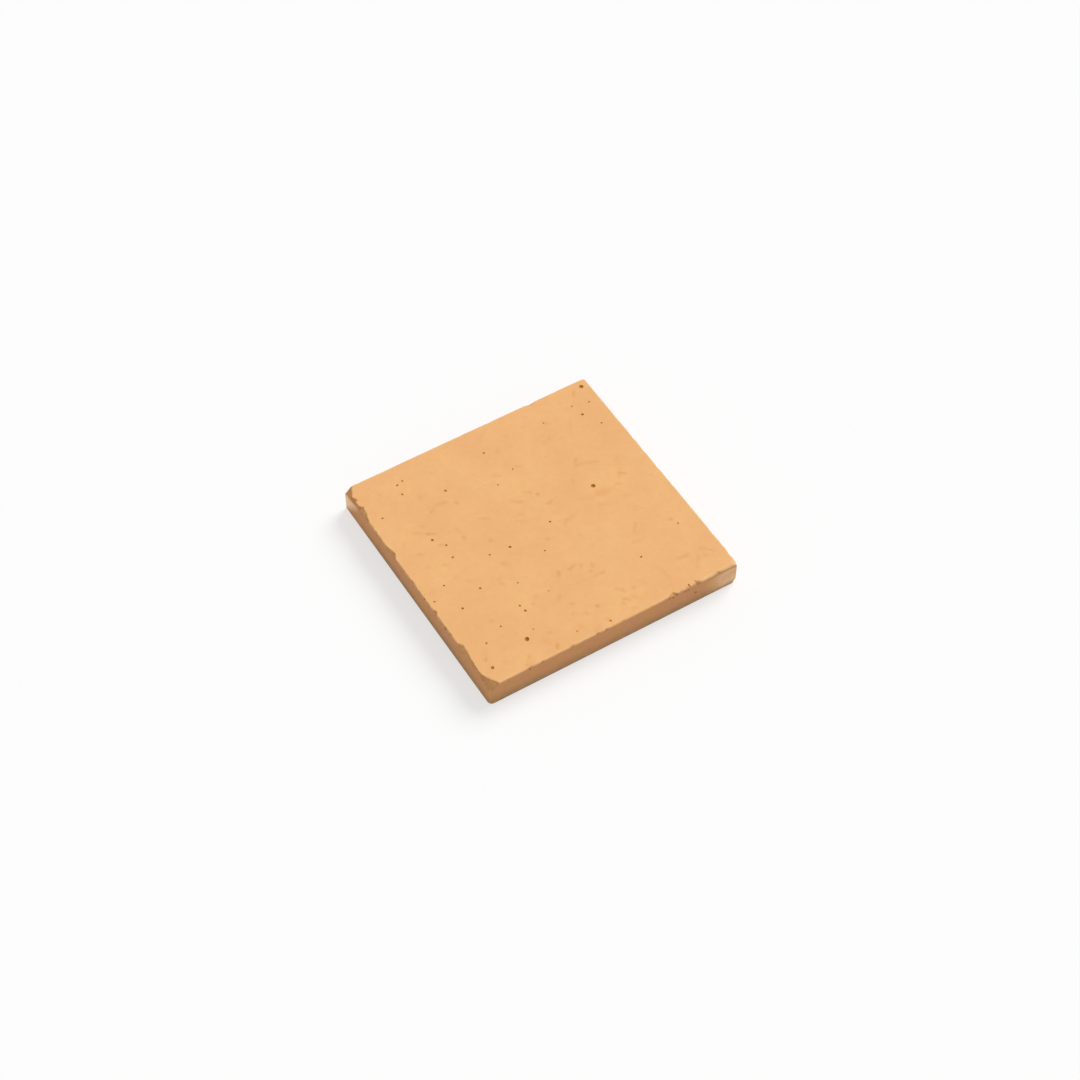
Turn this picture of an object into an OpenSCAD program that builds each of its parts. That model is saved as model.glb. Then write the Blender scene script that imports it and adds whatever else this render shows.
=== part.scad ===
// Square paving slab of cast concrete, lying face up, with the damage of one used piece.
// The origin is the middle of the underside. +X runs along the front edge to the right, +Y to the back.

/* [Slab] */
// Side of the square slab
slab_side = 400; // [300:10:600]
// Thickness of the slab
slab_t = 42; // [36:1:80]

/* [Edges] */
// Radius of the upright corner at the front left, worn round
front_left_r = 7; // [2:0.5:12]
// Radius of the upright corner at the front right, as the mould leaves it
front_right_r = 2; // [2:0.5:12]
// Radius of the upright corner at the rear right, worn round
rear_right_r = 4.5; // [2:0.5:12]
// Radius of the upright corner at the rear left, as the mould leaves it
rear_left_r = 2; // [2:0.5:12]
// Radius worn onto the top edges
top_edge_r = 1; // [0.5:0.25:1.75]
// Radius on the bottom edges
bottom_edge_r = 1; // [0.5:0.25:1.75]

/* [Broken front left corner] */
// How far the break reaches along the front edge
front_break_x = 16; // [12:0.5:30]
// How far the break reaches along the left edge
front_break_y = 26.5; // [12:0.5:40]
// How far the break runs down the upright corner
front_break_drop = 12.5; // [6:0.5:20]

/* [Broken rear left corner] */
// How far the break reaches along the back edge
rear_break_x = 12.5; // [8:0.5:20]
// How far the break reaches along the left edge
rear_break_y = 20.5; // [10:0.5:40]
// How far the break runs down the upright corner
rear_break_drop = 10; // [6:0.5:20]
// Distance from the rear left corner to the middle of the spall beside it
rear_spall_at = 44; // [30:1:60]
// Length of that spall along the left edge
rear_spall_length = 62; // [40:1:90]
// How far the spall bites into the top face
rear_spall_bite = 8.5; // [4:0.5:14]
// How far the spall runs down the left face
rear_spall_drop = 6; // [4:0.5:12]

/* [Chips of the left edge] */
// Distance from the rear left corner to the middle of the rear chip
rear_chip_at = 138; // [120:1:160]
// Length of the rear chip
rear_chip_length = 30; // [16:1:50]
// How far the rear chip bites into the top face
rear_chip_bite = 4.5; // [2:0.5:10]
// How far the rear chip runs down the left face
rear_chip_drop = 5; // [2:0.5:12]
// Distance from the front left corner to the middle of the front chip
front_chip_at = 77; // [60:1:100]
// Length of the front chip
front_chip_length = 28; // [16:1:50]
// How far the front chip bites into the top face
front_chip_bite = 6.5; // [3:0.5:12]
// How far the front chip runs down the left face
front_chip_drop = 6; // [2:0.5:12]
// Length of the shallow tail that the front chip trails towards the corner
front_tail_length = 56; // [40:1:80]
// How far the tail bites into the top face
front_tail_bite = 3.5; // [2:0.5:5]
// How far the tail runs down the left face
front_tail_drop = 4; // [2:0.5:8]

/* [Front right corner] */
// How far the knocked-off bottom corner reaches along the front edge
foot_break_x = 10; // [6:0.5:20]
// How far it reaches along the right edge
foot_break_y = 10; // [6:0.5:20]
// How far it runs up the upright corner
foot_break_rise = 10.5; // [6:0.5:20]
// Distance from the front right corner to the middle of the chip on the right edge
right_chip_at = 17; // [14:1:60]
// Length of that chip
right_chip_length = 28; // [16:1:50]
// How far it bites into the top face
right_chip_bite = 2; // [2:0.5:8]
// How far it runs down the right face
right_chip_drop = 4; // [2:0.5:12]

/* [Crumbled stretch of the front edge] */
// Distance from the front right corner to the nearest crumb's middle
crumble_at = 66; // [40:1:80]
// Number of crumbs broken out in a row
crumble_count = 4; // [1:1:8]
// Distance between neighbouring crumbs
crumble_pitch = 15; // [8:0.5:20]
// Length of the first crumb, the largest
crumble_length = 18; // [8:1:24]
// How far the first crumb bites into the top face
crumble_bite = 5; // [3:0.5:8]
// How far the first crumb runs down the front face
crumble_drop = 4; // [3:0.5:8]
// Size of each crumb as a share of the one before it
crumble_fade = 0.85; // [0.7:0.01:1]

/* [Hidden] */
$fn = 96;
half_side = slab_side / 2;
// Radii of the upright corners, from the rear right one on, against the clock
corner_radii = [rear_right_r, rear_left_r, front_left_r, front_right_r];
concrete = "#EEB47A";

// Half of the slab's section, from the middle line out to reach, with its two outer edges rounded
module half_section(reach) {
    waist = slab_t / 2;
    translate([0, bottom_edge_r])
        square([reach, slab_t - top_edge_r - bottom_edge_r]);
    square([reach - bottom_edge_r, waist]);
    translate([0, waist])
        square([reach - top_edge_r, slab_t - waist]);
    translate([reach - bottom_edge_r, bottom_edge_r])
        circle(bottom_edge_r);
    translate([reach - top_edge_r, slab_t - top_edge_r])
        circle(top_edge_r);
}

// The quarter of the slab that has the rear right corner, its upright corner rounded to corner_r
module cast_quarter(corner_r) {
    straight = half_side - corner_r;
    rotate([90, 0, 90])
        linear_extrude(straight)
            half_section(half_side);
    translate([0, straight])
        rotate([90, 0])
            linear_extrude(straight)
                half_section(half_side);
    translate([straight, straight])
        rotate_extrude(angle = 90)
            half_section(corner_r);
}

// The slab as it left the mould, with its corners worn
module cast_block() {
    for (quarter = [0 : len(corner_radii) - 1])
        rotate(90 * quarter)
            cast_quarter(corner_radii[quarter]);
}

// Takes off the front left corner with one slanted plane, which meets the two top edges
// at reach_x and reach_y and the upright corner at drop
module corner_break(reach_x, reach_y, drop) {
    normal = [-1 / reach_x, -1 / reach_y, 1 / drop];
    lean = acos(normal.z / norm(normal));
    heading = atan2(normal.y, normal.x);
    block = 4 * max(reach_x, reach_y, drop);
    translate([reach_x - half_side, -half_side, slab_t])
        rotate([0, lean, heading])
            translate([-block / 2, -block / 2])
                cube(block);
}

// Scoops a shallow bowl out of the top front edge, centred at x
// It bites into the top face and drops down the front face, and runs out at both ends
module edge_chip(x, length, bite, drop) {
    chord = norm([bite, drop]);
    depth = bite * drop / chord;
    stand_off = length ^ 2 / (8 * depth);
    outward = [-drop, bite] / chord;
    middle = [bite / 2 - half_side, slab_t - drop / 2] + outward * stand_off;
    translate([x, middle.x, middle.y])
        sphere(norm([stand_off, chord / 2]));
}

// Turns what lies along the front edge round to the left edge, its left end to the back
module on_left_edge() {
    rotate(-90)
        children();
}

// Turns what lies along the front edge round to the right edge, its left end to the front
module on_right_edge() {
    rotate(90)
        children();
}

// Turns the slab over, which brings its top left to its bottom right
module upside_down() {
    translate([0, 0, slab_t])
        rotate([0, 180])
            children();
}

module left_edge_damage() {
    on_left_edge() {
        edge_chip(rear_spall_at - half_side, rear_spall_length, rear_spall_bite, rear_spall_drop);
        edge_chip(rear_chip_at - half_side, rear_chip_length, rear_chip_bite, rear_chip_drop);
        edge_chip(half_side - front_chip_at, front_chip_length, front_chip_bite, front_chip_drop);
        edge_chip(half_side - front_chip_at + front_tail_length / 4, front_tail_length,
            front_tail_bite, front_tail_drop);
        corner_break(rear_break_y, rear_break_x, rear_break_drop);
    }
}

module front_edge_damage() {
    corner_break(front_break_x, front_break_y, front_break_drop);
    for (crumb = [0 : crumble_count - 1]) {
        size = crumble_fade ^ crumb;
        edge_chip(half_side - crumble_at - crumb * crumble_pitch, crumble_length * size,
            crumble_bite * size, crumble_drop * size);
    }
}

module front_right_damage() {
    upside_down()
        corner_break(foot_break_x, foot_break_y, foot_break_rise);
    on_right_edge()
        edge_chip(right_chip_at - half_side, right_chip_length, right_chip_bite, right_chip_drop);
}

module slab() {
    color(concrete)
        difference() {
            cast_block();
            left_edge_damage();
            front_edge_damage();
            front_right_damage();
        }
}

slab();
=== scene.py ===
"""A square paving slab of pigmented concrete, cast in a mould, used and chipped.

Shapes are worked out in millimetres and turned into metres when their mesh is made.
+X runs along the front edge to the right, +Y to the back, and the slab lies on z = 0.
"""

import math
from functools import partial

import bmesh
import bpy
import numpy as np
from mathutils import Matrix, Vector, geometry, noise


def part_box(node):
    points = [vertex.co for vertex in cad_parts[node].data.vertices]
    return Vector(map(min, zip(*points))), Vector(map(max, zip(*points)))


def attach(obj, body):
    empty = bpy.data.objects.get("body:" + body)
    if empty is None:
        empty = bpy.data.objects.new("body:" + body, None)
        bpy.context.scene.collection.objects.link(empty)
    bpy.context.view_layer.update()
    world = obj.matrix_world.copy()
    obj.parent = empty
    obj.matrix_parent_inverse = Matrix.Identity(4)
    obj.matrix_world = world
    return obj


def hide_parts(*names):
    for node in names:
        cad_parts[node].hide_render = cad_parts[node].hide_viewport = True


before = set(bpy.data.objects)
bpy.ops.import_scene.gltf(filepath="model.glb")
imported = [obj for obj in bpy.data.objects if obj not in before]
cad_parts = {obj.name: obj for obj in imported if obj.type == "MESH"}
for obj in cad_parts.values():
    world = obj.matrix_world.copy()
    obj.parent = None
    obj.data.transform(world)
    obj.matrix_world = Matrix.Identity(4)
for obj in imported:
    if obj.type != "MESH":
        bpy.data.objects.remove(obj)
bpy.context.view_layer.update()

MM = 0.001
UP = np.array((0.0, 0.0, 1.0))

# The slab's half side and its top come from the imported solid
slab_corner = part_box("slab")[1]
HALF = round(slab_corner[0] / MM, 3)
TOP = round(slab_corner[2] / MM, 3)

# Viewpoint of the photograph
VIEW_AZIMUTH = -31.56
VIEW_ELEVATION = 52.12
VIEW_DISTANCE = 3.578
VIEW_AIM = (-0.0034, -0.0085, 0.021)
LENS = 85.0
SENSOR = 36.0

# Upright corners against the clock from the front left: side of X, side of Y, radius worn onto it
CORNERS = ((-1, -1, 7.0), (1, -1, 2.0), (1, 1, 4.5), (-1, 1, 0.8))
# Each edge's direction along it and its direction outwards
EDGES = {
    "front": (np.array((1.0, 0.0, 0.0)), np.array((0.0, -1.0, 0.0))),
    "right": (np.array((0.0, 1.0, 0.0)), np.array((1.0, 0.0, 0.0))),
    "back": (np.array((1.0, 0.0, 0.0)), np.array((0.0, 1.0, 0.0))),
    "left": (np.array((0.0, 1.0, 0.0)), np.array((-1.0, 0.0, 0.0))),
}
# Radius of the arrises, the long edges round the walking face and the bed face
ARRIS_R = 1.0

# Spacing of the mesh along the slab's edges, and width of the fine band inside them
ALONG_STEP = 1.3
BAND = 24.0
# Spacing of the mesh on the two flat faces
WALKING_FACE_STEP = 2.3
BED_FACE_STEP = 10.0
# Points of the mesh closer together than this are joined
LEAST_GAP = 0.001
# Degrees of bend from which an edge of the mesh looks sharp
SHARP_BEND = 38

# Air holes on the walking face: place from the middle, and width of the mouth
BLOWHOLES = (
    (-116, -158, 7.1), (188, 188, 8.6), (103, 21, 6.6), (-180, -174, 5.2), (161, 142, 4.5),
    (-140, 56, 4.2), (-80, 123, 4.5), (-54, -11, 4.0), (-133, 167, 4.0), (-93, -116, 4.0),
    (17, -2, 4.0), (-126, -51, 4.3), (-164, -68, 3.6), (-3, -191, 3.5), (-128, 38, 3.2),
    (-131, 15, 4.0), (-180, 126, 3.3), (176, 114, 3.2), (-11, 93, 2.7), (156, 163, 2.7),
    (-123, 170, 3.6), (-135, 149, 3.4), (2, 154, 3.5), (182, 157, 3.0), (104, 157, 2.4),
    (22, 107, 3.0), (-85, -8, 3.0), (-166, -21, 3.0), (-191, -38, 3.0), (-95, -105, 3.0),
    (-135, -121, 3.0), (-166, -135, 3.0), (92, -121, 4.1), (168, -98, 2.6), (-51, -182, 2.6),
    (-77, -70, 2.5), (-16, -42, 3.0), (-100, -148, 2.7), (-48, -104, 2.1), (121.5, -195.6, 2.6),
    (132.5, -194.8, 2.4),
)
# Air holes and small pits in the sides: edge, place along it, height, and width of the mouth
SIDE_BLOWHOLES = (
    ("front", 131, 22.5, 3.6), ("front", -42, 14, 2.0), ("front", -150, 26, 1.6),
    ("front", 113.5, 36.5, 3.0), ("front", 117.5, 38, 3.2), ("front", 100.5, 39, 3.6),
    ("front", 93.5, 37, 3.6), ("front", 87.5, 38, 2.6), ("front", -137, 39, 3.4),
    ("front", -117, 38.5, 3.0), ("front", -29, 39.5, 3.2), ("front", -15, 39.5, 2.4),
    ("left", 70, 12, 2.0), ("left", -52, 25, 1.6), ("left", -26, 40, 2.8), ("left", -37.5, 35, 2.4),
    ("left", -83, 38.5, 4.0), ("left", -96, 40, 3.0), ("left", 107.5, 36.5, 3.0),
    ("left", 96, 39.5, 3.0), ("left", 16, 36.5, 2.5), ("right", -96, 27, 3.5),
    ("right", 34, 11, 3.0), ("right", 128, 22, 2.5), ("right", -31, 30, 2.0),
    ("right", 86, 33, 2.0), ("right", 152, 38.5, 3.0), ("right", -62, 39, 2.6),
    ("back", -124, 15, 3.0), ("back", 12, 28, 4.0), ("back", 143, 20, 2.5), ("back", -58, 9, 2.0),
    ("back", 77, 32, 2.0), ("back", -148, 39, 3.2), ("back", 52, 38.5, 2.8),
)
# Soft dents and drag marks in the walking face: the deep end, the shallow end, width, and depth,
# where 1 is a dent that shows clearly
DENTS = (
    (103, 67, 134, 55, 6, 0.35), (108, 76, 98, 61, 3, 0.4), (144, 17, 147, 20, 3, 0.5),
    (148, 21, 155, 16, 3, 0.7), (133, 8, 139, 4, 3, 0.3), (102, 6, 118, 3, 12, 0.4),
    (92, -12, 107, -20, 6, 0.25), (92, 2, 74, 10, 4, 0.2), (37, -11, 54, -10, 6, 0.35),
    (32, -18, 37, -10, 4, 0.3), (20, 57, 14, 63, 4, 0.5), (1, 49, -10, 57, 5, 0.5),
    (32, 27, 39, 29, 4, 0.6), (-7, 110, 1, 105, 3, 0.3), (28, 109, 35, 105, 3, 0.4),
    (17, 121, 21, 117, 4, 0.15), (-18, 31, -10, 32, 3, 0.25), (-10, 32, -7, 24, 3, 0.25),
    (-22, 24, -13, 17, 3, 0.2), (-64, 55, -54, 47, 4, 0.3), (-71, 13, -70, 12, 6, 0.45),
    (-3, -26, 0, -27, 5, 0.45), (-101, 37, -102, 34, 5, 0.8), (-78, -30, -71, -36, 6, 0.4),
    (-4, -87, 6, -84, 5, 0.55), (14, -88, 10, -95, 4, 0.45), (27, -97, 24, -102, 4, 0.5),
    (19, -106, 19, -107, 4, 0.7), (33, -116, 16, -115, 5, 0.4), (9, -115, -14, -113, 4, 0.15),
    (-20, -84, -23, -89, 6, 0.7), (-98, -59, -93, -64, 4, 0.45), (-98, -51, -93, -49, 3, 0.35),
    (118, -67, 107, -80, 3, 0.45), (95, -94, 116, -96, 4, 0.25), (145, -152, 135, -150, 4, 0.6),
    (145, -152, 152, -151, 3, 0.3), (160, -161, 148, -178, 3, 0.35), (163, -87, 162, -88, 5, 0.7),
    (132, -41, 144, -51, 4, 0.25), (33, -149, 38, -154, 3, 0.5), (38, -154, 40, -160, 3, 0.45),
    (54, -160, 53, -162, 5, 0.65), (33, -170, 38, -174, 3, 0.8), (-69, -103, -71, -106, 7, 0.25),
    (-39, -118, -45, -125, 4, 0.45), (97, 130, 92, 124, 3, 0.25), (84, 46, 80, 38, 3, 0.25),
    (22, 150, 19, 145, 4, 0.3), (-40, -86, -40, -87, 5, 0.2), (104, -153, 105, -178, 5, 0.2),
    (67, -155, 67, -156, 5, 0.25), (71, -163, 74, -165, 3, 0.25), (-59, -22, -46, -30, 4, 0.2),
    (-32, 88, -34, 84, 7, 0.1), (133, -18, 137, -20, 6, 0.25), (-103, 107, -89, 104, 6, 0.5),
    (-116, 100, -109, 104, 4, 0.65), (-154, 79, -145, 73, 3, 0.35), (-141, 69, -131, 63, 3, 0.8),
    (-116, 133, -116, 128, 3, 0.45), (-163, 167, -162, 162, 6, 0.25),
    (-151, 181, -151, 180, 6, 0.25), (-153, 142, -149, 135, 10, 0.1), (-165, 41, -170, 45, 3, 0.4),
    (-149, 10, -142, 6, 4, 0.45), (-102, 53, -100, 45, 7, 0.3), (-137, 42, -133, 42, 3, 0.8),
    (-169, 18, -170, 13, 7, 0.25), (-145, -15, -141, -22, 7, 0.1), (-133, -32, -128, -36, 3, 0.35),
    (-143, -106, -138, -108, 3, 0.4), (-188, -24, -186, -27, 8, 0.15),
    (-168, -46, -164, -50, 4, 0.1), (-163, 90, -163, 88, 4, 0.25), (-139, 85, -141, 81, 4, 0.25),
    (-149, 100, -142, 96, 3, 0.2), (-83, 165, -77, 159, 4, 0.25), (-177, 73, -182, 63, 3, 0.2),
    (-185, 37, -184, 35, 7, 0.2), (-78, -112, -78, -113, 4, 0.5), (-33, -139, -32, -141, 4, 0.45),
    (-5, -160, -5, -162, 5, 1.0), (-25, -163, -23, -166, 4, 0.35), (-39, -153, -42, -157, 3, 0.3),
    (28, -175, 28, -177, 3, 0.4), (35, -188, 40, -192, 3, 0.35), (45, -171, 52, -180, 8, 0.25),
    (-86, -187, -89, -192, 3, 0.9), (-127, -182, -132, -189, 3, 0.4),
    (-84, -164, -82, -166, 5, 0.35), (-98, -169, -94, -178, 8, 0.2),
    (-159, -175, -151, -180, 7, 0.2), (-73, -195, -69, -198, 3, 0.15),
    (-30, -197, -21, -189, 5, 0.3), (-43, -177, -40, -182, 9, 0.2),
    (-142, -135, -142, -137, 5, 0.25), (-124, -142, -125, -145, 5, 0.25),
    (-150, -151, -148, -153, 9, 0.1), (-3, -190, -5, -185, 3, 0.35),
    (-139, -194, -131, -198, 4, 0.5), (-174, -145, -178, -152, 9, 0.2), (73, 167, 77, 165, 3, 0.35),
    (85, 182, 88, 181, 3, 0.3), (96, 130, 100, 128, 3, 0.25), (45, 164, 43, 159, 5, 0.25),
    (42, 145, 42, 142, 4, 0.25), (173, 185, 168, 177, 3, 0.6), (140, 142, 127, 118, 6, 0.2),
    (160, 47, 154, 29, 11, 0.2), (91, 105, 89, 101, 5, 0.2), (17, 186, 14, 182, 3, 0.2),
    (28, 49, 28, 48, 5, 1.2), (-78, 96, -77, 94, 5, 0.7), (86, 127, 87, 125, 4, 0.4),
    (-182, -157, -179, -159, 4, 1.2), (170, -150, 177, -157, 3, 0.35),
    (181, -161, 183, -163, 3, 0.5), (167, -164, 172, -167, 3, 0.35), (148, -163, 147, -168, 4, 0.3),
    (124, -126, 125, -127, 4, 0.25), (72, -161, 73, -162, 3, 0.3), (106, 156, 112, 152, 3, 0.3),
)
# A dent narrower than this would fall between the points of the walking face
LEAST_DENT_WIDTH = 4.5
# Places in the noise that shift the breaks along X, Y and Z
JOSTLE_OFFSETS = (163.5, 263.5, 363.5)
# Red-brown stains in the breaks at the rear left and beside the one at the front left: middle, radius of
# the full stain, radius where it ends, and strength
STAINS = (
    ((-197.0, 178.0, TOP - 1.0), 5.0, 8.0, 0.9),
    ((-196.0, 194.0, TOP - 4.0), 5.0, 12.0, 0.5),
    ((-200.0, -180.0, TOP - 5.0), 3.0, 9.0, 0.5),
)


def ramp(value, start, end):
    """Rises smoothly from 0 at start to 1 at end."""
    share = np.clip((value - start) / (end - start), 0.0, 1.0)
    return share * share * (3.0 - 2.0 * share)


def roughness(points, size, offset=0.0):
    """Smooth noise from about -1 to 1 at each point, with bumps of the given size.

    The offset picks another place in the noise, so that no two patterns are alike.
    """
    return np.array([noise.noise(Vector(point) / size + Vector((offset, 0.0, 0.0))) for point in points])


def jostle(points, size):
    """A small shift at each point, which changes smoothly over the given size."""
    return np.column_stack([roughness(points, size, offset) for offset in JOSTLE_OFFSETS])


def graded(first, growth, total):
    """Distances from 0 to total whose steps start at first and grow."""
    steps = [first]
    while sum(steps) < total:
        steps.append(steps[-1] * growth)
    distances = np.concatenate(([0.0], np.cumsum(steps)))
    return distances * total / distances[-1]


def plan_outline():
    """Points round the slab's plan, against the clock from its front left corner."""
    points = []
    for number, (side_x, side_y, radius) in enumerate(CORNERS):
        turns = math.ceil(radius * math.pi / 2 / ALONG_STEP) + 1
        for angle in np.radians(180 + 90 * number) + np.linspace(0, math.pi / 2, turns + 1):
            centre = np.array((side_x, side_y)) * (HALF - radius)
            points.append(centre + radius * np.array((math.cos(angle), math.sin(angle))))
        next_x, next_y, next_radius = CORNERS[(number + 1) % len(CORNERS)]
        start = points[-1]
        length = 2 * HALF - radius - next_radius
        direction = (np.array((next_x, next_y)) - (side_x, side_y)) / 2
        for distance in np.linspace(0, length, round(length / ALONG_STEP) + 1)[1:-1]:
            points.append(start + direction * distance)
    return np.array(points)


def section_rings():
    """Inset and height of each ring round the slab, from the walking face over the edge to the bed."""
    quarter = np.linspace(0, math.pi / 2, 5)
    top = [(ARRIS_R + inset, TOP) for inset in graded(0.6, 1.2, BAND - ARRIS_R)[:0:-1]]
    top_arris = [(ARRIS_R * (1 - math.sin(a)), TOP - ARRIS_R * (1 - math.cos(a))) for a in quarter]
    upper = graded(0.7, 1.2, TOP / 2 - ARRIS_R)
    side = [(0.0, TOP - ARRIS_R - down) for down in upper[1:]]
    side += [(0.0, ARRIS_R + rise) for rise in upper[-2:0:-1]]
    bottom_arris = [(ARRIS_R * (1 - math.cos(a)), ARRIS_R * (1 - math.sin(a))) for a in quarter]
    bottom = [(ARRIS_R + inset, 0.0) for inset in graded(1.0, 1.5, BAND - ARRIS_R)[1:]]
    return top + top_arris + side + bottom_arris + bottom


def out_of_flake(points, inward, normals, levels):
    """How far each point has to go inward to leave a flake, which lies beyond all of its faces."""
    beyond = points @ normals.T - levels
    closing = -(inward @ normals.T)
    # A way that hardly nears a face doesn't leave through it
    least = 0.01
    ways = np.where(closing > least, beyond / np.maximum(closing, least), np.inf).min(axis=1)
    return np.where((beyond > 0).all(axis=1) & np.isfinite(ways), ways, 0.0)


def out_of_bowl(points, inward, centre, radius):
    """How far each point has to go inward to leave a ball that has been scooped out."""
    away = points - centre
    heading = (away * inward).sum(axis=1)
    outside = (away * away).sum(axis=1) - radius * radius
    root = np.sqrt(np.maximum(heading * heading - outside, 0.0))
    return np.where(outside < 0, root - heading, 0.0)


def flake(*faces):
    """A piece that broke off along flat faces, each given by its outward normal and a point on it."""
    normals = np.array([normal / np.linalg.norm(normal) for normal, _ in faces])
    levels = np.array([normal @ point for normal, (_, point) in zip(normals, faces)])
    return partial(out_of_flake, normals=normals, levels=levels)


def corner_break(side_x, side_y, reach_x, reach_y, drop, height, upward):
    """A corner broken off along one face.

    The face meets the two edges at the reaches, and the upright corner at drop from the given height.
    """
    normal = np.array((side_x / reach_x, side_y / reach_y, upward / drop))
    return flake((normal, np.array((side_x * (HALF - reach_x), side_y * HALF, height))))


def edge_flake(edge, start, deepest, end, bite, drop):
    """A flake off the top arris, with two faces that meet across the arris where it is deepest."""
    along, outward = EDGES[edge]
    arris = outward * HALF + UP * TOP
    inner = arris + along * deepest - outward * bite
    lower = arris + along * deepest - UP * drop
    faces = []
    for tip in (arris + along * start, arris + along * end):
        normal = np.cross(inner - tip, lower - tip)
        faces.append((normal * np.sign(normal @ (outward + UP)), tip))
    return flake(*faces)


def edge_step(edge, start, deepest, end, bite, wall, drop):
    """A crumb off the top arris that leaves a low upright wall at its back and a sloping floor."""
    along, outward = EDGES[edge]
    arris = outward * HALF + UP * TOP
    inner = arris + along * deepest - outward * bite
    floor = np.cross(along, outward * bite - UP * (drop - wall))
    faces = [(floor * np.sign(floor[2]), inner - UP * wall)]
    for tip in (arris + along * start, arris + along * end):
        normal = np.cross(inner - tip, UP)
        faces.append((normal * np.sign(normal @ outward), tip))
    return flake(*faces)


def edge_chip(edge, at, length, bite, drop):
    """A shallow bowl that bites into the walking face, drops down the side and runs out at both ends."""
    along, outward = EDGES[edge]
    chord = math.hypot(bite, drop)
    stand_off = length ** 2 * chord / (8 * bite * drop)
    slant = (outward * drop + UP * bite) / chord
    middle = along * at + outward * (HALF - bite / 2) + UP * (TOP - drop / 2)
    radius = math.hypot(stand_off, chord / 2)
    return partial(out_of_bowl, centre=middle + slant * stand_off, radius=radius)


# Broken corners and chips, where the part's solid has them, with the faces of the real breaks, and a few
# smaller flakes of the left, right and back arrises
BREAKS = [
    corner_break(-1, -1, 16.0, 25.0, 12.5, TOP, 1),
    corner_break(-1, -1, 11.0, 33.0, 13.5, TOP, 1),
    corner_break(-1, 1, 12.0, 22.0, 9.5, TOP, 1),
    corner_break(1, -1, 6.0, 9.0, 10.0, 0.0, -1),
    edge_flake("left", 122, 157, 166, 8.0, 6.0),
    edge_chip("left", 171, 36, 3.0, 8.0),
    edge_flake("left", 53, 61.5, 88, 4.5, 5.0),
    edge_flake("left", -182, -122, -113, 6.3, 5.5),
    edge_flake("left", -64, -52, -38, 1.8, 2.5),
    edge_flake("left", -4, 8, 26, 1.8, 2.5),
    edge_chip("right", -183, 30, 1.5, 3.5),
    edge_flake("right", 60, 66, 76, 2.0, 2.5),
    edge_flake("back", 97, 107, 122, 4.5, 3.5),
    edge_flake("left", 171.5, 173, 187, 7.5, 4.0),
]
# Crumbs and worn stretches of the front arris, which are nearly as pale as the walking face
CRUMBS = [
    edge_flake("front", 121, 133, 141, 5.6, 6.0),
    edge_step("front", 112, 120.5, 124, 4.0, 0.4, 2.2),
    edge_step("front", 83, 95, 101, 5.0, 0.4, 3.2),
    edge_flake("front", 101, 106, 112, 2.0, 2.5),
    edge_flake("front", 140, 165, 330, 3.0, 2.4),
    edge_step("front", 85, 90, 94, 3.4, 0.4, 2.6),
    edge_flake("front", 74, 80, 86, 2.2, 2.6),
    corner_break(1, -1, 6.0, 16.0, 6.5, TOP, 1),
]
# Nicks in the top arrises: edge, place along it, half of its length, bite and drop
NICKS = (
    ("front", -168, 5, 0.9, 1.5), ("front", -137, 6, 1.4, 4.0), ("front", -117, 6, 1.2, 5.0),
    ("front", -98, 6, 0.9, 1.4), ("front", -72, 4, 0.8, 1.6), ("front", -48, 5, 0.9, 1.3),
    ("front", -29, 5, 1.3, 4.5), ("front", -14, 5, 1.1, 3.5), ("front", 12, 5, 0.8, 1.4),
    ("front", 37, 4, 1.0, 1.6), ("front", 58, 5, 0.8, 1.2), ("front", 162, 3, 1.6, 3.2),
    ("front", 170, 3, 2.0, 4.0), ("left", 108, 5, 1.6, 6.0), ("left", 97, 4, 1.5, 3.0),
    ("left", 31, 6, 1.2, 2.0), ("left", -12, 5, 1.0, 2.0), ("left", -26, 4, 1.5, 3.0),
    ("left", -37, 4, 1.0, 6.0), ("left", -83, 6, 2.0, 5.0), ("left", -95, 5, 2.0, 4.0),
)
# Small nicks scattered along the arrises that the photograph hides or shows edge on: how many, how far
# from the middle, and the ranges of half of their length, their bite and their drop
NICK_COUNTS = {"right": 14, "back": 14}
NICK_REACH = 185
NICK_SIZES = ((3, 8), (0.4, 1.2), (0.8, 2.5))
NICK_SEED = 11
# Wear of each edge's top arris, and of the bottom arrises, as a share of the usual wear
ARRIS_WEAR = {"front": 0.7, "right": 0.9, "back": 0.4, "left": 1.3}
BOTTOM_WEAR = 0.4


def nick_flakes():
    """The nicks of the top arrises as flakes, and the scattered ones, which are the same in every run."""
    chance = np.random.default_rng(NICK_SEED)
    nicks = list(NICKS)
    for edge, count in NICK_COUNTS.items():
        for at in chance.uniform(-NICK_REACH, NICK_REACH, count):
            half, bite, drop = (chance.uniform(*span) for span in NICK_SIZES)
            nicks.append((edge, at, half, bite, drop))
    return [
        edge_flake(edge, at - half, at + half * chance.uniform(-0.6, 0.6), at + half, bite, drop)
        for edge, at, half, bite, drop in nicks
    ]


def worn_arrises(points):
    """Planes at 45 degrees that take an uneven strip off every top and bottom arris."""
    usual, least, knock = 0.55, 0.2, 2.2
    wear = usual + 0.35 * roughness(points, 26.0) + 0.35 * roughness(points, 7.0, 9.0)
    wear += knock * ramp(roughness(points, 15.0, 21.0), 0.4, 0.75)
    wear = np.maximum(wear, least)
    planes = []
    for edge, share in ARRIS_WEAR.items():
        for height, upward, amount in ((TOP, 1, share), (0.0, -1, BOTTOM_WEAR)):
            normal = (EDGES[edge][1] + UP * upward) / math.sqrt(2)
            levels = (HALF + height * upward) / math.sqrt(2) - wear * amount
            planes.append(partial(out_of_flake, normals=normal[None], levels=levels[:, None]))
    return planes


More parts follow.
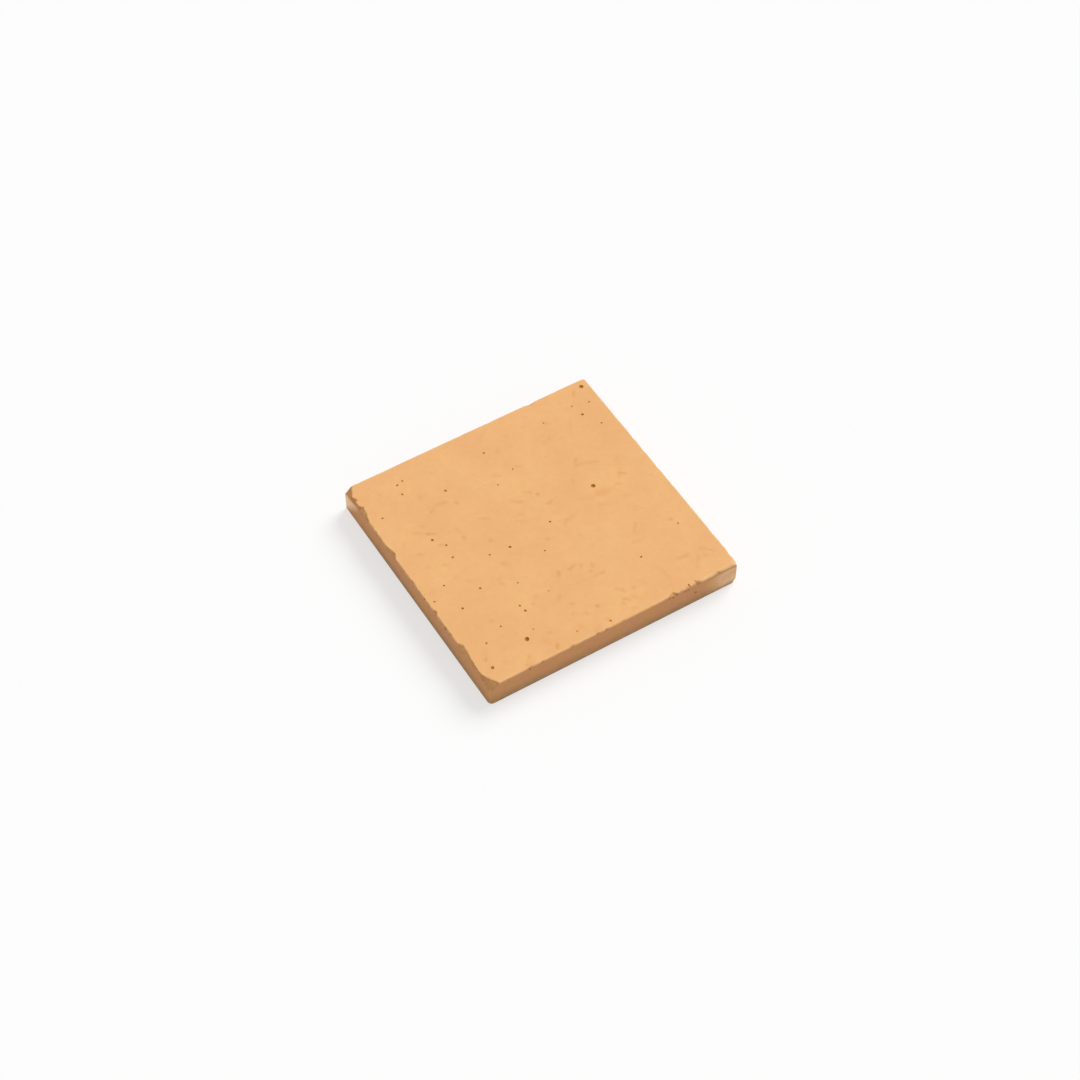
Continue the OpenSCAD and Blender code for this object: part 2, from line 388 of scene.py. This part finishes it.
def carve(points, inward, cuts, shift=0.0):
    """How far each point goes inward to be clear of all the cuts, which are shifted a little there."""
    gone = np.zeros(len(points))
    # The second round catches points that one cut has moved into another
    for _ in range(2):
        for cut in cuts:
            gone += cut(points + shift + inward * gone[:, None], inward)
    return gone


def filled_field(ring, step):
    """The ring's points and a grid inside them, with the triangles that join them all."""
    reach = np.abs(ring).max() - step
    line = np.linspace(-reach, reach, round(2 * reach / step) + 1)
    grid = np.array(np.meshgrid(line, line)).reshape(2, -1).T
    points = np.vstack((ring, grid))
    rim = [(i, (i + 1) % len(ring)) for i in range(len(ring))]
    inside_rim, nearness = 1, 1e-6
    _, _, triangles, origins, _, _ = geometry.delaunay_2d_cdt(
        [Vector(point) for point in points], rim, [], inside_rim, nearness,
    )
    source = [given[0] for given in origins]
    return grid, [[source[i] for i in face] for face in triangles]


def block_rings():
    """Rings of points over the sound block, their ways inward, their insets, and the number in a ring."""
    outline = plan_outline()
    rings = section_rings()
    insets = np.repeat([inset for inset, _ in rings], len(outline))
    heights = np.repeat([height for _, height in rings], len(outline))
    plan = np.tile(outline, (len(rings), 1))
    points = np.column_stack((plan * (1 - insets / HALF)[:, None], heights))
    core = np.column_stack((plan * (1 - (BAND + 1) / HALF), np.clip(heights, TOP / 2 - 1, TOP / 2 + 1)))
    inward = core - points
    inward /= np.linalg.norm(inward, axis=1)[:, None]
    return points, inward, insets, len(outline)


def damage(points, inward):
    """How far wear and breaks take each point inward, and how much it has a break's colour, also as painted
    shade on worn arrises.
    """
    # A break wavers by up to 0.8 mm over 10 mm, and by up to 0.45 mm over 3.5 mm
    shift = 0.8 * jostle(points, 10.0) + 0.45 * jostle(points, 3.5)
    worn = carve(points, inward, worn_arrises(points))
    split = carve(points, inward, BREAKS + nick_flakes(), shift)
    crumbled = carve(points, inward, CRUMBS, 0.5 * shift)
    gone = np.max((worn, split, crumbled), axis=0)
    # Depths at which the colour of a break starts and is full
    start, full = 0.1, 0.7
    broken = np.max((
        ramp(split - worn, start, full),
        0.25 * ramp(crumbled - worn, start, full),
        # A deeply worn arris takes the break's darker colour as painted shade along it
        0.75 * ramp(worn, 0.8, 1.8),
    ), axis=0)
    return gone, broken


def pale_rims_and_highlights(points, carved, insets, gone, around):
    """Strength of the rubbed, paler rim where the walking face ends at its arris or at a chip, partly a
    painted highlight.
    """
    least_cut, rim_width = 0.12, 2.2
    flat = (points[:, 2] > TOP - 0.01).reshape(-1, around)
    insets = insets.reshape(-1, around)
    brink = np.where(flat & (gone.reshape(-1, around) > least_cut), insets, ARRIS_R).max(axis=0)
    past = insets - brink
    rim = np.where(flat & (past > -0.3), np.exp(-(past / rim_width) ** 2), 0.0).ravel()
    patchy = 0.12 + 0.55 * ramp(roughness(points, 28.0, 40.0), -0.1, 0.45)
    x, y, z = carved.T
    # At the front right the rim runs down over the worn arris as a painted highlight
    front_right = ramp(x, 136, 150) * ramp(-y, HALF - 4.6, HALF - 3) * ramp(z, TOP - 2.6, TOP - 1.4)
    return np.maximum(rim * patchy, front_right)


def soft_dents(points):
    """Depth of the soft dents in the walking face, from 0 to about 1."""
    plan = (points + 0.8 * jostle(points, 8.0))[:, :2]
    deepest = np.zeros(len(points))
    for x0, y0, x1, y1, width, strength in DENTS:
        start = np.array((x0, y0))
        run = np.array((x1, y1)) - start + 0.01
        share = np.clip((plan - start) @ run / (run @ run), 0.0, 1.0)
        miss = np.linalg.norm(plan - start - share[:, None] * run, axis=1)
        dent = strength * (1 - 0.4 * share) * np.exp(-4 * (miss / max(width, LEAST_DENT_WIDTH)) ** 2)
        deepest = np.maximum(deepest, dent)
    uneven = 0.9 + 0.5 * roughness(points, 4.0, 60.0)
    return np.where(points[:, 2] > TOP - 1, deepest * uneven, 0.0)


def edge_inset(points):
    """Distance of each point in from the nearest side."""
    return HALF - np.abs(points[:, :2]).max(axis=1)


def painted_side_shade_share(points):
    """How much of the sides' darker brown shows at each point, which is painted shade, up to just under the
    top arris.
    """
    return (1 - ramp(edge_inset(points), 0.5, 6.0)) * (1 - ramp(points[:, 2], TOP - 3, TOP - 0.8))


def darkened_foot(points):
    """Strength of the earth and the painted shade that darken the lower part of the sides."""
    foot = (1 - ramp(edge_inset(points), 0.5, 6.0)) * (1 - ramp(points[:, 2], 0.0, 23.0))
    foot *= 1 - 0.6 * ramp(points[:, 1] - points[:, 0], 2 * HALF - 90, 2 * HALF - 30)
    patchy = 0.85 + 0.5 * roughness(points, 18.0, 33.0) + 0.5 * roughness(points, 6.0, 35.0)
    return foot * np.clip(patchy, 0.0, 1.0)


def pale_bloom_and_light(points):
    """Strength of the pale lime bloom and painted light round the upright corners at the rear left and the
    front right.
    """
    x, y, z = points.T
    on_side = 1 - ramp(edge_inset(points), 1.0, 5.0)
    below_arris = 1 - ramp(z, TOP - 9, TOP - 5)
    # At the rear left the bloom also paints the light on the lip of the left side
    from_rear_left = np.minimum(HALF - y, HALF) + 1.6 * np.minimum(HALF + x, HALF)
    uneven = 2.0 + 7.0 * ramp(x, 1 - HALF, 8 - HALF)
    above_fade = z - 7.0 - (from_rear_left - 8.0) + uneven * roughness(points, 11.0, 75.0)
    rear_left = ramp(above_fade, -9.0, 12.0) * below_arris
    rear_left *= 1 - 0.6 * ramp(x, 0.5 - HALF, 5 - HALF)
    # At the front right it also paints the light on the right end of the front side
    from_front_right = 1.6 * np.minimum(HALF + y, HALF) + np.minimum(HALF - x, HALF)
    front_right = 0.62 * (1 - ramp(from_front_right, 5, 64)) * ramp(z, -2, 12)
    front_right *= 1 - ramp(z, TOP - 8, TOP - 4.5)
    patchy = 1.0 + 0.5 * roughness(points, 18.0, 70.0)
    return np.clip(on_side * np.maximum(rear_left, front_right) * patchy, 0.0, 1.0)


def red_stain(points):
    """Strength of the red-brown stains at each point."""
    strength = np.zeros(len(points))
    for place, core, end, most in STAINS:
        away = np.linalg.norm(points - np.array(place), axis=1)
        strength = np.maximum(strength, most * (1 - ramp(away, core, end)))
    return strength


def unevenness(points, dents):
    """Rise of each point: a cast face is never quite flat, and the bed face is hollow inside its rim."""
    top = 0.12 * roughness(points, 45.0, 3.0) - 0.35 * dents
    bed = 0.4 * ramp(roughness(points, 30.0, 80.0), -0.4, 0.6) * ramp(edge_inset(points), 4, 14)
    return np.where(points[:, 2] > TOP / 2, top, np.where(points[:, 2] < 0.05, bed, 0.0))


def ring_faces(last_ring, around):
    """Faces with four corners between each ring of points and the next."""
    faces = []
    for upper in range(0, last_ring, around):
        lower = upper + around
        for i in range(around):
            after = (i + 1) % around
            faces.append((upper + i, lower + i, lower + after, upper + after))
    return faces


def cast_slab_mesh():
    """The cast block with its worn arrises, its rough breaks, its chips and its dents."""
    points, inward, insets, around = block_rings()
    gone, broken = damage(points, inward)
    carved = points + inward * gone[:, None]
    # Rubbed rims, partly painted highlights along the edges
    rims = pale_rims_and_highlights(points, carved, insets, gone, around)

    top_grid, top_faces = filled_field(carved[:around, :2], WALKING_FACE_STEP)
    bed_grid, bed_faces = filled_field(carved[-around:, :2], BED_FACE_STEP)
    first_top = len(carved)
    first_bed = first_top + len(top_grid)
    last_ring = first_top - around
    faces = ring_faces(last_ring, around)
    faces += [[i if i < around else i - around + first_top for i in face] for face in top_faces]
    faces += [
        [i + last_ring if i < around else i - around + first_bed for i in face[::-1]]
        for face in bed_faces
    ]
    points = np.vstack((
        carved,
        np.column_stack((top_grid, np.full(len(top_grid), TOP))),
        np.column_stack((bed_grid, np.zeros(len(bed_grid)))),
    ))
    inner = (0, len(top_grid) + len(bed_grid))
    broken = np.pad(broken, inner)
    painted = {
        "broken": broken,
        "worn": np.pad(rims, inner),
        "dent": soft_dents(points),
        "mould_side": painted_side_shade_share(points),
        "soil": darkened_foot(points),
        "bloom": pale_bloom_and_light(points),
        "stain": red_stain(points) * broken,
    }
    points[:, 2] += unevenness(points, painted["dent"])

    mesh = bpy.data.meshes.new("cast_slab")
    mesh.from_pydata(points * MM, [], faces)
    for name, values in painted.items():
        mark = mesh.attributes.new(name, "FLOAT", "POINT")
        mark.data.foreach_set("value", values.astype(np.float32))
    return mesh


def linear(code):
    """Linear colour of an sRGB hex value, with full alpha."""
    channels = [int(code[i:i + 2], 16) / 255 for i in (1, 3, 5)]
    return [c / 12.92 if c <= 0.04045 else ((c + 0.055) / 1.055) ** 2.4 for c in channels] + [1.0]


def add(tree, kind, inputs=None, **settings):
    """Adds a node with its settings, and gives each input a value or a link."""
    made = tree.nodes.new(kind)
    for name, value in settings.items():
        setattr(made, name, value)
    for key, value in (inputs or {}).items():
        if isinstance(value, bpy.types.NodeSocket):
            tree.links.new(value, made.inputs[key])
        else:
            made.inputs[key].default_value = value
    return made


# Marks painted on the slab's points, and the mark on the walls of its air holes, which its material reads
PAINTED = ("broken", "dent", "bloom", "worn", "mould_side", "soil", "stain")
AIR_HOLE = "air_hole"
# Radius of each bubble on the blowholes' points
BUBBLE_RADIUS = "bubble_radius"
# Sockets of a colour Mix node
FACTOR, COLOR_A, COLOR_B, MIXED = 0, 6, 7, 2


def concrete_patterns(tree, place):
    """Patterns in the concrete, each with values from 0 to 1."""
    # Clouds 60 mm across where the pigment settled unevenly, blotches of 17 mm on the sides, mottles of
    # 9 mm in the cement skin, and sand, whose 0.5 mm would not show, so its grain is drawn at 1.5 mm
    patterns = {
        name: add(tree, "ShaderNodeTexNoise", {
            "Vector": place, "Scale": 1 / (size * MM), "Detail": detail,
        }).outputs["Fac"]
        for name, size, detail in (
            ("cloud", 60, 3.0), ("blotch", 17, 3.0), ("mottle", 9, 4.0), ("sand", 1.5, 2.0),
        )
    }
    # Stones of 5 mm that show where the concrete is broken
    stones = add(tree, "ShaderNodeTexVoronoi", {"Vector": place, "Scale": 1 / (5 * MM)})
    patterns["stone"] = stones.outputs["Color"]
    return patterns


def colour_shares(tree, place, patterns, marks):
    """How far each pattern or mark turns the colour below it into its own, from 0 to 1."""
    # The walls of the air holes in the walking face lie above the first of these heights
    walked_on, all_walked_on = (TOP - 3.4) * MM, (TOP - 2.6) * MM
    height = add(tree, "ShaderNodeSeparateXYZ", {0: place}).outputs["Z"]
    # Faint darker smears on the sides
    smear = add(tree, "ShaderNodeMath", {
        0: patterns["mottle"], 1: marks["mould_side"],
    }, operation="MULTIPLY").outputs[0]
    # Value, the two ends of its range, and the shares at those ends
    shares = {
        name: add(tree, "ShaderNodeMapRange", {0: value, 1: low, 2: high, 3: least, 4: most}).outputs[0]
        for name, value, low, high, least, most in (
            ("cloud", patterns["cloud"], 0.3, 0.7, 0.0, 1.0),
            ("mottle", patterns["mottle"], 0.3, 0.7, 0.0, 0.3),
            ("sand", patterns["sand"], 0.35, 0.75, 0.0, 0.3),
            ("patch", patterns["mottle"], 0.2, 0.6, 0.65, 1.0),
            ("streak", patterns["mottle"], 0.35, 0.65, 0.0, 1.0),
            ("smear", smear, 0.0, 1.0, 0.0, 0.42),
            ("blotch", patterns["blotch"], 0.35, 0.65, 0.0, 1.0),
            ("stone", patterns["stone"], 0.2, 0.9, 0.0, 1.0),
            ("walked_on", height, walked_on, all_walked_on, 0.0, 1.0),
            # The sides' darker brown is painted shade
            ("side", marks["mould_side"], 0.0, 1.0, 0.0, 0.9),
            # Earth and painted shade at the foot of the sides
            ("soil", marks["soil"], 0.0, 1.0, 0.0, 0.9),
            # Rubbed rims, partly painted highlights
            ("worn", marks["worn"], 0.0, 1.0, 0.0, 0.8),
            ("dent", marks["dent"], 0.0, 1.0, 0.0, 0.56),
        )
    }
    shares["bloom"] = add(tree, "ShaderNodeMath", {
        0: marks["bloom"], 1: shares["patch"],
    }, operation="MULTIPLY").outputs[0]
    return shares


def concrete_colour(tree, shares, marks):
    """Colour of the concrete's skin, with each pattern and mark laid over it in turn."""
    # A break varies from stone to stone, a side's painted shade and the earth and shade at its foot are
    # blotched, and the painted shade in an air hole is warmer in the walking face than in a side
    fracture, side, earth_and_shade, hole = (
        add(tree, "ShaderNodeMix", {
            FACTOR: shares[pattern], COLOR_A: linear(first), COLOR_B: linear(second),
        }, data_type="RGBA").outputs[MIXED]
        for pattern, first, second in (
            ("stone", "#D89A5E", "#E2A96C"),
            ("blotch", "#D08F68", "#CE9453"),
            ("streak", "#A87A5A", "#A08C60"),
            # Painted shade in the air holes, in a side and in the walking face
            ("walked_on", "#AC7648", "#C27C2B"),
        )
    )
    color = linear("#F0B375")
    for share, over in (
        (shares["cloud"], linear("#F6BB7C")),
        (shares["mottle"], linear("#E7AB6E")),
        (shares["sand"], linear("#FACC94")),
        # Painted shade on the sides
        (shares["side"], side),
        (shares["smear"], linear("#B4825C")),
        # Earth and painted shade at the foot of the sides
        (shares["soil"], earth_and_shade),
        # Rubbed rims, partly painted highlights
        (shares["worn"], linear("#F6CB90")),
        # Pale bloom, which is also painted light at these corners
        (shares["bloom"], linear("#FFD9AA")),
        (shares["dent"], linear("#CB7722")),
        # Break colour, which on deeply worn arrises is painted shade
        (marks["broken"], fracture),
        (marks["stain"], linear("#CC8A56")),
        # Painted shade on the walls of the air holes
        (marks[AIR_HOLE], hole),
    ):
        color = add(tree, "ShaderNodeMix", {
            FACTOR: share, COLOR_A: color, COLOR_B: over,
        }, data_type="RGBA").outputs[MIXED]
    return color


def concrete_grit(tree, sand, broken):
    """Fine relief: the skin is nearly smooth, and a break has grit up to 0.8 mm high."""
    in_skin, more_in_break = 0.1, 0.7
    coarse = add(tree, "ShaderNodeMath", {
        0: broken, 1: more_in_break, 2: in_skin,
    }, operation="MULTIPLY_ADD")
    grit = add(tree, "ShaderNodeMath", {0: sand, 1: coarse.outputs[0]}, operation="MULTIPLY")
    return add(tree, "ShaderNodeBump", {
        "Height": grit.outputs[0], "Strength": 1.0, "Distance": 1.0 * MM,
    }).outputs[0]


def pigmented_cast_concrete():
    """Concrete coloured right through with ochre pigment and cast against a smooth mould.

    It looks matte and even, with soft clouds in the pigment, fine sand grain, darker dents, pale lime bloom
    with painted light at two corners, sides made browner by painted shade with earth and more painted shade
    at their foot, a rougher and deeper colour where it is broken, and brown air holes, whose darkness is
    painted shade.
    """
    material = bpy.data.materials.new("pigmented_cast_concrete")
    material.use_nodes = True
    tree = material.node_tree
    tree.nodes.clear()
    place = add(tree, "ShaderNodeTexCoord").outputs["Object"]
    marks = {
        name: add(tree, "ShaderNodeAttribute", attribute_name=name).outputs["Fac"]
        for name in (*PAINTED, AIR_HOLE)
    }
    patterns = concrete_patterns(tree, place)
    shares = colour_shares(tree, place, patterns, marks)
    dull = add(tree, "ShaderNodeMapRange", {0: patterns["mottle"], 1: 0.3, 2: 0.7, 3: 0.82, 4: 0.94})
    shader = add(tree, "ShaderNodeBsdfPrincipled", {
        "Base Color": concrete_colour(tree, shares, marks),
        "Roughness": dull.outputs[0],
        "Normal": concrete_grit(tree, patterns["sand"], marks["broken"]),
        "IOR": 1.5,
        "Specular IOR Level": 0.3,
    })
    add(tree, "ShaderNodeOutputMaterial", {"Surface": shader.outputs[0]})
    return material


def blowhole_points():
    """A loose point at the middle of each bubble of air that burst at a face, with its radius."""
    # Radius and lift of a bubble, as shares of its mouth's width, that leave a bowl 0.3 of the width deep
    swell, lift = 0.567, 0.267
    mouths = [(np.array((x, y, TOP)), UP, width) for x, y, width in BLOWHOLES]
    for edge, at, height, width in SIDE_BLOWHOLES:
        along, outward = EDGES[edge]
        mouths.append((along * at + outward * HALF + UP * height, outward, width))
    mesh = bpy.data.meshes.new("blowholes")
    middles = [(place + outward * lift * width) * MM for place, outward, width in mouths]
    mesh.from_pydata(middles, [], [])
    radii = np.array([swell * width * MM for _, _, width in mouths], np.float32)
    mesh.attributes.new(BUBBLE_RADIUS, "FLOAT", "POINT").data.foreach_set("value", radii)
    return bpy.data.objects.new("blowholes", mesh)


def blown_bubbles(tree, given, turn):
    """An uneven bubble at each of the blowholes' points."""
    marks = add(tree, "GeometryNodeObjectInfo", {
        "Object": given["Blowholes"],
    }, transform_space="RELATIVE")
    radius = add(tree, "GeometryNodeInputNamedAttribute", {"Name": BUBBLE_RADIUS}, data_type="FLOAT")
    ball = add(tree, "GeometryNodeMeshIcoSphere", {"Radius": 1.0, "Subdivisions": 2})
    uneven = add(tree, "FunctionNodeRandomValue", {
        "Min": (0.85, 0.85, 0.85), "Max": (1.15, 1.15, 1.15), "Seed": given["Seed"],
    }, data_type="FLOAT_VECTOR")
    size = add(tree, "ShaderNodeVectorMath", {
        0: uneven.outputs[0], "Scale": radius.outputs[0],
    }, operation="SCALE")
    return add(tree, "GeometryNodeInstanceOnPoints", {
        "Points": marks.outputs["Geometry"], "Instance": ball.outputs["Mesh"],
        "Rotation": turn, "Scale": size.outputs[0],
    }).outputs[0]


def scattered_pins(tree, given, turn, slab):
    """Small balls scattered over the slab, but not over the walls of its blowholes."""
    hole = add(tree, "GeometryNodeInputNamedAttribute", {"Name": AIR_HOLE}, data_type="FLOAT")
    sound = add(tree, "FunctionNodeCompare", {0: hole.outputs[0], 1: 0.5}, operation="LESS_THAN")
    scatter = add(tree, "GeometryNodeDistributePointsOnFaces", {
        "Mesh": slab, "Selection": sound.outputs[0], "Distance Min": given["Pinhole Spacing"],
        "Density Max": 2000.0, "Seed": given["Seed"],
    }, distribute_method="POISSON")
    pin = add(tree, "GeometryNodeMeshIcoSphere", {"Radius": 0.5, "Subdivisions": 1})
    width = add(tree, "FunctionNodeRandomValue", {
        2: given["Smallest Pinhole"], 3: given["Largest Pinhole"], "Seed": given["Seed"],
    }, data_type="FLOAT")
    return add(tree, "GeometryNodeInstanceOnPoints", {
        "Points": scatter.outputs["Points"], "Instance": pin.outputs["Mesh"],
        "Rotation": turn, "Scale": width.outputs[1],
    }).outputs[0]


def cut_out(tree, slab, cutters):
    """Takes the cutters out of the slab and marks the walls that they leave."""
    solid = add(tree, "GeometryNodeRealizeInstances", {"Geometry": cutters})
    walls = add(tree, "GeometryNodeStoreNamedAttribute", {
        "Geometry": solid.outputs[0], "Name": AIR_HOLE, "Value": 1.0,
    }, data_type="FLOAT", domain="FACE")
    rest = add(tree, "GeometryNodeMeshBoolean", {
        "Mesh 1": slab, "Mesh 2": walls.outputs[0],
    }, operation="DIFFERENCE", solver="MANIFOLD")
    return rest.outputs["Mesh"]


def painted_as(tree, cut_slab, sound_slab):
    """Gives the cut slab the painted marks of the sound one, because the rim of a cut has lost them."""
    for name in PAINTED:
        value = add(tree, "GeometryNodeInputNamedAttribute", {"Name": name}, data_type="FLOAT")
        nearest = add(tree, "GeometryNodeSampleNearestSurface", {
            "Mesh": sound_slab, "Value": value.outputs[0],
        }, data_type="FLOAT")
        cut_slab = add(tree, "GeometryNodeStoreNamedAttribute", {
            "Geometry": cut_slab, "Name": name, "Value": nearest.outputs[0],
        }, data_type="FLOAT", domain="POINT").outputs[0]
    return cut_slab


def air_hole_tree():
    """Cuts the blowholes and a scatter of pinholes out of the slab."""
    tree = bpy.data.node_groups.new("air_holes", "GeometryNodeTree")
    for name, kind in (
        ("Slab", "NodeSocketGeometry"),
        ("Blowholes", "NodeSocketObject"),
        ("Pinhole Spacing", "NodeSocketFloat"),
        ("Smallest Pinhole", "NodeSocketFloat"),
        ("Largest Pinhole", "NodeSocketFloat"),
        ("Seed", "NodeSocketInt"),
        ("Concrete", "NodeSocketMaterial"),
    ):
        tree.interface.new_socket(name, in_out="INPUT", socket_type=kind)
    tree.interface.new_socket("Slab", in_out="OUTPUT", socket_type="NodeSocketGeometry")
    given = add(tree, "NodeGroupInput").outputs
    turn = add(tree, "FunctionNodeRandomValue", {
        "Max": (math.tau, math.tau, math.tau), "Seed": given["Seed"],
    }, data_type="FLOAT_VECTOR").outputs[0]
    slab = cut_out(tree, given["Slab"], blown_bubbles(tree, given, turn))
    slab = cut_out(tree, slab, scattered_pins(tree, given, turn, slab))
    slab = painted_as(tree, slab, given["Slab"])
    plain = add(tree, "GeometryNodeRealizeInstances", {"Geometry": slab})
    dressed = add(tree, "GeometryNodeSetMaterial", {
        "Geometry": plain.outputs[0], "Material": given["Concrete"],
    })
    add(tree, "NodeGroupOutput", {"Slab": dressed.outputs[0]})
    return tree


def mend_rims(mesh):
    """Joins points that cuts leave too close together, and takes out those left inside an edge.

    Without this, triangles at the rims could vanish or lie on each other.
    """
    work = bmesh.new()
    work.from_mesh(mesh)
    bmesh.ops.remove_doubles(work, verts=work.verts, dist=LEAST_GAP * MM)
    inside_edges = [point for point in work.verts if len(point.link_edges) == 2]
    bmesh.ops.dissolve_verts(work, verts=inside_edges)
    work.to_mesh(mesh)
    work.free()


def make_slab():
    """The slab as one closed mesh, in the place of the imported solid."""
    slab = bpy.data.objects.new("cast_slab", cast_slab_mesh())
    bubbles = blowhole_points()
    for made in (slab, bubbles):
        bpy.context.scene.collection.objects.link(made)
    tree = air_hole_tree()
    holes = slab.modifiers.new("air_holes", "NODES")
    holes.node_group = tree
    wanted = {
        "Blowholes": bubbles,
        "Pinhole Spacing": 20 * MM,
        "Smallest Pinhole": 0.4 * MM,
        "Largest Pinhole": 1.1 * MM,
        "Seed": 4,
        "Concrete": pigmented_cast_concrete(),
    }
    for socket in tree.interface.items_tree:
        if socket.in_out == "INPUT" and socket.name in wanted:
            holes[socket.identifier] = wanted[socket.name]
    evaluated = slab.evaluated_get(bpy.context.evaluated_depsgraph_get())
    finished = bpy.data.meshes.new_from_object(evaluated)
    mend_rims(finished)
    slab.modifiers.clear()
    slab.data = finished
    finished.name = "cast_slab"
    bpy.data.objects.remove(bubbles)
    finished.shade_smooth()
    finished.set_sharp_from_angle(angle=math.radians(SHARP_BEND))
    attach(slab, "root")
    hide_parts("slab")


def shown_rays(tree):
    """1 for the rays that show a surface itself: straight to the camera, mirrored, or through glass."""
    rays = add(tree, "ShaderNodeLightPath").outputs
    other = add(tree, "ShaderNodeMath", {
        0: rays["Is Glossy Ray"], 1: rays["Is Transmission Ray"],
    }, operation="MAXIMUM")
    return add(tree, "ShaderNodeMath", {
        0: rays["Is Camera Ray"], 1: other.outputs[0],
    }, operation="MAXIMUM").outputs[0]


def floor_paint():
    """White floor that glows, which lights the slab, and which the camera sees as white with a soft shadow.
    """
    material = bpy.data.materials.new("glowing_white_floor")
    material.use_nodes = True
    tree = material.node_tree
    tree.nodes.clear()
    # Grey and glow of the floor as it lights the slab, and as the camera sees it
    paints = []
    for grey, glow in ((0.7, 0.36), (0.4, 0.6)):
        shaded = add(tree, "ShaderNodeBsdfDiffuse", {"Color": (grey, grey, grey, 1.0)})
        bright = add(tree, "ShaderNodeEmission", {"Color": (1.0, 1.0, 1.0, 1.0), "Strength": glow})
        paint = add(tree, "ShaderNodeAddShader", {0: shaded.outputs[0], 1: bright.outputs[0]})
        paints.append(paint.outputs[0])
    both = add(tree, "ShaderNodeMixShader", {0: shown_rays(tree), 1: paints[0], 2: paints[1]})
    add(tree, "ShaderNodeOutputMaterial", {"Surface": both.outputs[0]})
    return material


def make_floor():
    """A wide floor just under the slab, which is only staging."""
    reach = 8.0
    height = -0.2 * MM
    mesh = bpy.data.meshes.new("floor")
    corners = ((-reach, -reach), (reach, -reach), (reach, reach), (-reach, reach))
    mesh.from_pydata([(x, y, height) for x, y in corners], [], [(0, 1, 2, 3)])
    mesh.materials.append(floor_paint())
    floor = bpy.data.objects.new("floor", mesh)
    bpy.context.scene.collection.objects.link(floor)


def make_light():
    """Soft light from behind the slab, and an even room light that the camera sees as white."""
    lamp = bpy.data.lights.new("window_light", "SUN")
    lamp.energy = 2.3
    lamp.angle = math.radians(35)
    window = bpy.data.objects.new("window_light", lamp)
    toward = Vector((0.70, 0.22, 0.68))
    window.rotation_euler = toward.to_track_quat("Z", "Y").to_euler()
    bpy.context.scene.collection.objects.link(window)

    world = bpy.data.worlds.new("white_room")
    world.use_nodes = True
    tree = world.node_tree
    tree.nodes.clear()
    room = add(tree, "ShaderNodeBackground", {"Color": (1.0, 1.0, 1.0, 1.0), "Strength": 0.45})
    backdrop = add(tree, "ShaderNodeBackground", {"Color": (1.0, 1.0, 1.0, 1.0), "Strength": 1.0})
    both = add(tree, "ShaderNodeMixShader", {
        0: shown_rays(tree), 1: room.outputs[0], 2: backdrop.outputs[0],
    })
    add(tree, "ShaderNodeOutputWorld", {"Surface": both.outputs[0]})
    bpy.context.scene.world = world


def make_camera():
    """The camera of the photograph."""
    turn, rise = math.radians(VIEW_AZIMUTH), math.radians(VIEW_ELEVATION)
    back = Vector((math.sin(turn) * math.cos(rise), -math.cos(turn) * math.cos(rise), math.sin(rise)))
    view = bpy.data.cameras.new("view")
    view.lens = LENS
    view.sensor_width = SENSOR
    camera = bpy.data.objects.new("view", view)
    camera.location = Vector(VIEW_AIM) + back * VIEW_DISTANCE
    camera.rotation_euler = back.to_track_quat("Z", "Y").to_euler()
    bpy.context.scene.collection.objects.link(camera)
    bpy.context.scene.camera = camera


make_camera()
make_slab()
make_floor()
make_light()
bpy.context.scene.view_settings.view_transform = "Standard"
